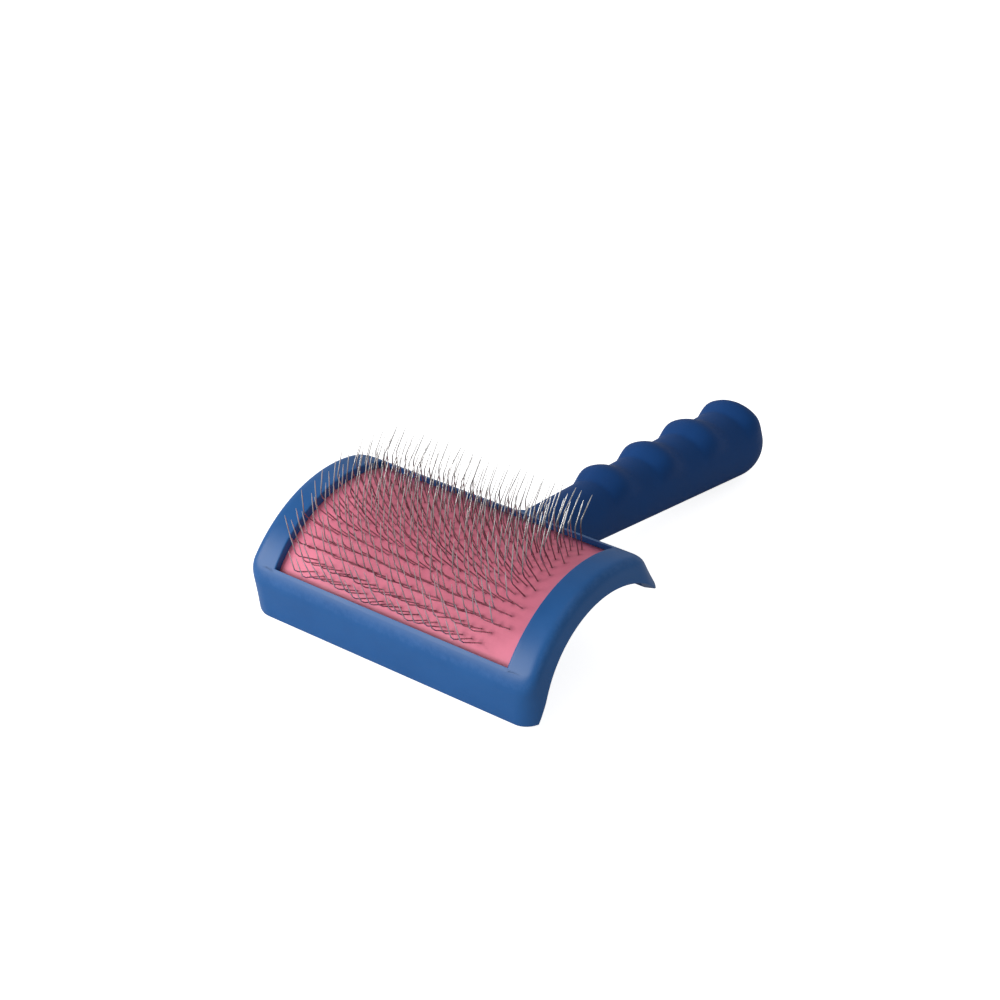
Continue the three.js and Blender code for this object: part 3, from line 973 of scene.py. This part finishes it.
def pink_rubber():
    """Pink sheet rubber with a faint cloth print-through, and painted shade round each pin's root and
    along the front edge under the lip.
    """
    material, tree, place, surface = new_material("pink_rubber")
    grain = use(tree, GRAIN, Vector=place, Scale=1500.0, Mottle_Scale=90.0)
    mark = wear_and_shade_mark(tree)
    colour = mix_colour(tree, spread_value(tree, grain["Mottle"], 0.0, 1.0),
                        (0.78, 0.185, 0.285, 1), (0.88, 0.230, 0.340, 1))
    # Painted shade: the pad's shade mark pulls the pink towards this deep rose round the pin roots and
    # under the front lip.
    colour = mix_colour(tree, math_node(tree, "MULTIPLY", mark, 0.55), colour, (0.36, 0.075, 0.12, 1))
    wire(tree, surface.inputs["Base Color"], colour)
    wire(tree, surface.inputs["Roughness"], spread_value(tree, grain["Mottle"], 0.5, 0.66))
    threads = [
        node(tree, "ShaderNodeTexWave", {"bands_direction": way}, Vector=place, Scale=420.0,
             Distortion=0.4, Detail=1.0).outputs["Fac"]
        for way in ("X", "Y")
    ]
    weave = math_node(tree, "MULTIPLY", threads[0], threads[1])
    height = math_node(tree, "MULTIPLY_ADD", weave, 0.35, grain["Height"])
    bump(tree, surface, height, 0.35, 0.00008)
    return material


def drawn_steel():
    """Drawn wire with faint tarnish, paler towards the tips: their polish plus a painted highlight."""
    material, tree, place, surface = new_material("drawn_steel")
    tarnish = node(tree, "ShaderNodeTexNoise", Vector=place, Scale=260.0, Detail=4.0, Roughness=0.6)
    draw = node(tree, "ShaderNodeTexNoise", Vector=place, Scale=3500.0, Detail=2.0)
    tone = node(tree, "ShaderNodeAttribute", {"attribute_name": "pin_tone"}).outputs["Fac"]
    mottle = math_node(tree, "ADD", tarnish.outputs[0], math_node(tree, "MULTIPLY", tone, 0.5))
    colour = mix_colour(tree, spread_value(tree, mottle, 0.0, 1.0, 0.2, 0.8),
                        (0.20, 0.185, 0.18, 1), (0.50, 0.485, 0.47, 1))
    along = node(tree, "ShaderNodeAttribute", {"attribute_name": "pin_along"}).outputs["Fac"]
    # Paler towards the tips: partly their polish, partly a painted highlight for the bright room they
    # reflect.
    polish_and_highlight = spread_value(tree, along, 0.0, 0.75, 0.55, 0.95)
    colour = mix_colour(tree, polish_and_highlight, colour, (0.86, 0.85, 0.84, 1))
    wire(tree, surface.inputs["Base Color"], colour)
    wire(tree, surface.inputs["Metallic"], spread_value(tree, tarnish.outputs[0], 0.94, 1.0))
    wire(tree, surface.inputs["Roughness"], spread_value(tree, tarnish.outputs[0], 0.2, 0.36))
    bump(tree, surface, draw.outputs[0], 0.12, 0.00002)
    return material


def pale_foam():
    """Closed-cell foam."""
    material, tree, place, surface = new_material("pale_foam")
    grain = use(tree, GRAIN, Vector=place, Scale=1200.0, Mottle_Scale=80.0)
    colour = mix_colour(tree, spread_value(tree, grain["Mottle"], 0.0, 1.0),
                        (0.62, 0.58, 0.50, 1), (0.74, 0.70, 0.62, 1))
    wire(tree, surface.inputs["Base Color"], colour)
    surface.inputs["Roughness"].default_value = 0.9
    bump(tree, surface, grain["Height"], 0.8, 0.0003)
    return material


# ---------------------------------------------------------------- stage

def build_stage():
    size = 6.0
    mesh = bpy.data.meshes.new("floor")
    mesh.from_pydata([(-size, -size, 0), (size, -size, 0), (size, size, 0), (-size, size, 0)], [],
                     [(0, 1, 2, 3)])
    floor = bpy.data.objects.new("floor", mesh)
    bpy.context.scene.collection.objects.link(floor)
    material, tree, place, surface = new_material("white_paper")
    fibres = node(tree, "ShaderNodeTexNoise", Vector=place, Scale=40.0, Detail=3.0)
    colour = mix_colour(tree, fibres.outputs[0], (0.80, 0.80, 0.80, 1), (0.84, 0.84, 0.84, 1))
    wire(tree, surface.inputs["Base Color"], colour)
    seen = tree.nodes.new("ShaderNodeLightPath").outputs["Is Camera Ray"]
    surface.inputs["Emission Color"].default_value = (1, 1, 1, 1)
    wire(tree, surface.inputs["Emission Strength"], math_node(tree, "MULTIPLY", seen, 0.85))
    surface.inputs["Roughness"].default_value = 0.9
    surface.inputs["Specular IOR Level"].default_value = 0.1
    mesh.materials.append(material)


def aim(thing, target):
    way = Vector(target) - thing.location
    thing.rotation_mode = "QUATERNION"
    thing.rotation_quaternion = way.to_track_quat("-Z", "Y")


def way_to(azimuth, elevation):
    """The direction from the brush at an azimuth and elevation, in degrees."""
    azimuth, elevation = math.radians(azimuth), math.radians(elevation)
    return Vector((
        math.sin(azimuth) * math.cos(elevation),
        -math.cos(azimuth) * math.cos(elevation),
        math.sin(elevation),
    ))


def softbox(name, direction, distance, size, power, target):
    """A rectangular area light, aimed at the target from an azimuth and elevation, in degrees."""
    light = bpy.data.lights.new(name, "AREA")
    light.shape = "RECTANGLE"
    light.size, light.size_y = size
    light.energy = power
    lamp = bpy.data.objects.new(name, light)
    bpy.context.scene.collection.objects.link(lamp)
    lamp.location = Vector(target) + way_to(*direction) * distance
    aim(lamp, target)


def build_lights(target):
    world = bpy.data.worlds.new("studio")
    world.use_nodes = True
    background = world.node_tree.nodes["Background"]
    background.inputs["Color"].default_value = (1, 1, 1, 1)
    background.inputs["Strength"].default_value = 0.40
    bpy.context.scene.world = world
    softbox("key", (-36, 20), 1.0, (0.7, 0.5), 8.0, target)
    softbox("left", (-112, 34), 0.9, (0.5, 0.3), 0.3, target)
    softbox("overhead", (-20, 82), 1.2, (0.5, 0.5), 0.7, target)


def build_camera():
    direction, roll = (39.33, 26.23), math.radians(0.49)
    distance = 0.6978
    head_middle = HEAD @ Vector((0, 0, 0))
    target = Vector((-0.0126, head_middle.y + 0.0364, 0.025))
    data = bpy.data.cameras.new("camera")
    data.lens = 82.887
    data.sensor_width = 36.0
    data.dof.use_dof = False
    data.clip_start, data.clip_end = 0.01, 50
    camera = bpy.data.objects.new("camera", data)
    bpy.context.scene.collection.objects.link(camera)
    camera.location = target + way_to(*direction) * distance
    aim(camera, target)
    rolled = Matrix.Rotation(roll, 4, "Z").to_quaternion()
    camera.rotation_quaternion = camera.rotation_quaternion @ rolled
    bpy.context.scene.camera = camera
    return target


# ---------------------------------------------------------------- assembly

def assemble():
    blue = moulded_blue()
    surround, back = build_surround(blue), build_back(blue)
    grip, pad = build_grip(soft_navy()), build_pad(pink_rubber())
    for piece, body, cad_node, slot in (
        (surround, "brush_body", "pad_frame", "blue_plastic"),
        (back, "brush_body", "head_back", "blue_plastic"),
        (grip, "brush_body", "grip_sleeve", "grip_rubber"),
        (pad, "pin_bed", "pin_pad", "pink_rubber"),
    ):
        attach(piece, body)
        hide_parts(cad_node)
    pins = build_pins(drawn_steel())
    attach(pins, "pin_bed")
    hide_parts(*[n for n in frame["nodes"] if n.startswith("pin_row_")])
    for strip, under, over in build_foam(pale_foam()):
        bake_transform(strip)
        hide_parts("foam_cushion")


assemble()
build_stage()
camera_target = build_camera()
build_lights(camera_target)
bpy.context.scene.view_settings.view_transform = "Standard"
